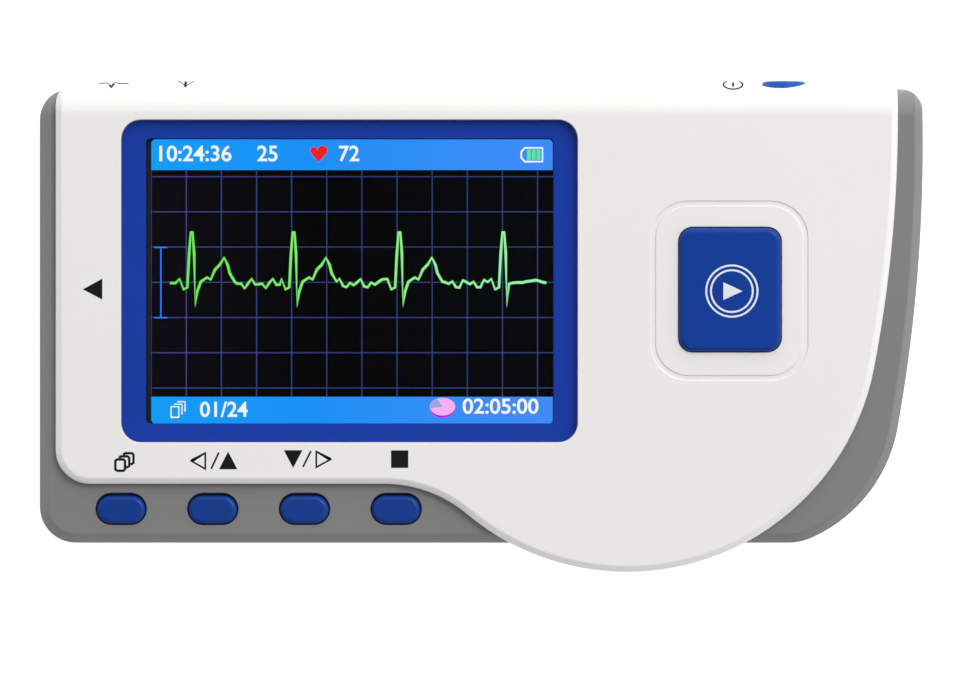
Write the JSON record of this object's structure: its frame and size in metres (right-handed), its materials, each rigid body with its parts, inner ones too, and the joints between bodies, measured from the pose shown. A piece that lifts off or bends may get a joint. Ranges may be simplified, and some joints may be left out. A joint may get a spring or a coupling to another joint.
{
  "type": "handheld ecg home monitor",
  "caption": "Slim handheld heart monitor with a colour display, blue start key, pill keys, side electrodes, two sockets and a sliding battery door.",
  "frame": {"origin": "middle of the back, on the surface that the monitor lies on", "axes": "+X to the right along the long side, +Y to the top side with the sockets, +Z out of the display"},
  "size_m": [0.125, 0.07, 0.02],
  "materials": {
    "white_shell": "fine satin",
    "grey_shell": "fine matte",
    "blue_key": "satin gloss",
    "blue_power_key": "satin gloss",
    "clear_window": "polished",
    "blue_border": "printed film",
    "display_glass": "polished",
    "display_metal": "bright sheet",
    "backlight_white": "moulded",
    "black_foam": "foam",
    "ribbon_film": "polyimide film",
    "white_ribbon": "laminated film",
    "connector_cream": "moulded",
    "board_green": "solder resist",
    "chip_black": "moulded",
    "tin": "tinned sheet",
    "silicone": "moulded",
    "socket_black": "moulded",
    "electrode_steel": "brushed",
    "wire_red": "insulation",
    "wire_black": "insulation",
    "battery_sleeve": "printed sleeve",
    "screw_steel": "zinc plated",
    "plunger_white": "moulded"
  },
  "bodies": {
    "case": {"fascia": "white_shell", "front_shell": "grey_shell", "rear_cover": "grey_shell", "window_lens": "clear_window", "window_mask": "blue_border", "power_switch": "chip_black", "start_dome": "tin", "keypad_mat": "silicone", "display_cell": "display_glass", "display_frame": "display_metal", "display_backlight": "backlight_white", "display_gasket": "black_foam", "display_flex": "ribbon_film", "display_connector": "connector_cream", "main_board": "board_green", "board_chips": "chip_black", "shield_can": "tin", "clock_crystal": "tin", "buzzer": "chip_black", "key_board": "board_green", "link_ribbon": "white_ribbon", "lead_socket": "socket_black", "data_socket": "tin", "data_socket_core": "socket_black", "left_electrode": "electrode_steel", "right_electrode": "electrode_steel", "back_electrode": "electrode_steel", "electrode_wires": "wire_black", "battery_1": "battery_sleeve", "battery_2": "battery_sleeve", "contact_plates": "tin", "battery_springs": "tin", "battery_wires": "wire_red", "case_screws": "screw_steel"},
    "start_key": {"start_key": "blue_key"},
    "pages_key": {"pages_key": "blue_key"},
    "left_up_key": {"left_up_key": "blue_key"},
    "right_down_key": {"right_down_key": "blue_key"},
    "stop_key": {"stop_key": "blue_key"},
    "power_key": {"power_key": "blue_power_key", "power_plunger": "plunger_white"},
    "battery_door": {"battery_door": "grey_shell"}
  },
  "joints": [
    {"name": "start_press", "type": "slide", "parent": "case", "child": "start_key", "axis": [0, 0, -1], "range_m": [0, 0.0006], "stiffness_N_per_m": 1200, "deforming": ["start_dome"]},
    {"name": "pages_press", "type": "slide", "parent": "case", "child": "pages_key", "axis": [0, 0, -1], "range_m": [0, 0.0006], "stiffness_N_per_m": 600, "deforming": ["keypad_mat"]},
    {"name": "left_up_press", "type": "slide", "parent": "case", "child": "left_up_key", "axis": [0, 0, -1], "range_m": [0, 0.0006], "stiffness_N_per_m": 600, "deforming": ["keypad_mat"]},
    {"name": "right_down_press", "type": "slide", "parent": "case", "child": "right_down_key", "axis": [0, 0, -1], "range_m": [0, 0.0006], "stiffness_N_per_m": 600, "deforming": ["keypad_mat"]},
    {"name": "stop_press", "type": "slide", "parent": "case", "child": "stop_key", "axis": [0, 0, -1], "range_m": [0, 0.0006], "stiffness_N_per_m": 600, "deforming": ["keypad_mat"]},
    {"name": "power_press", "type": "slide", "parent": "case", "child": "power_key", "axis": [0, -1, 0], "range_m": [0, 0.0005], "stiffness_N_per_m": 800},
    {"name": "door_slide", "type": "slide", "parent": "case", "child": "battery_door", "axis": [0, -1, 0], "range_m": [0, 0.06]}
  ]
}
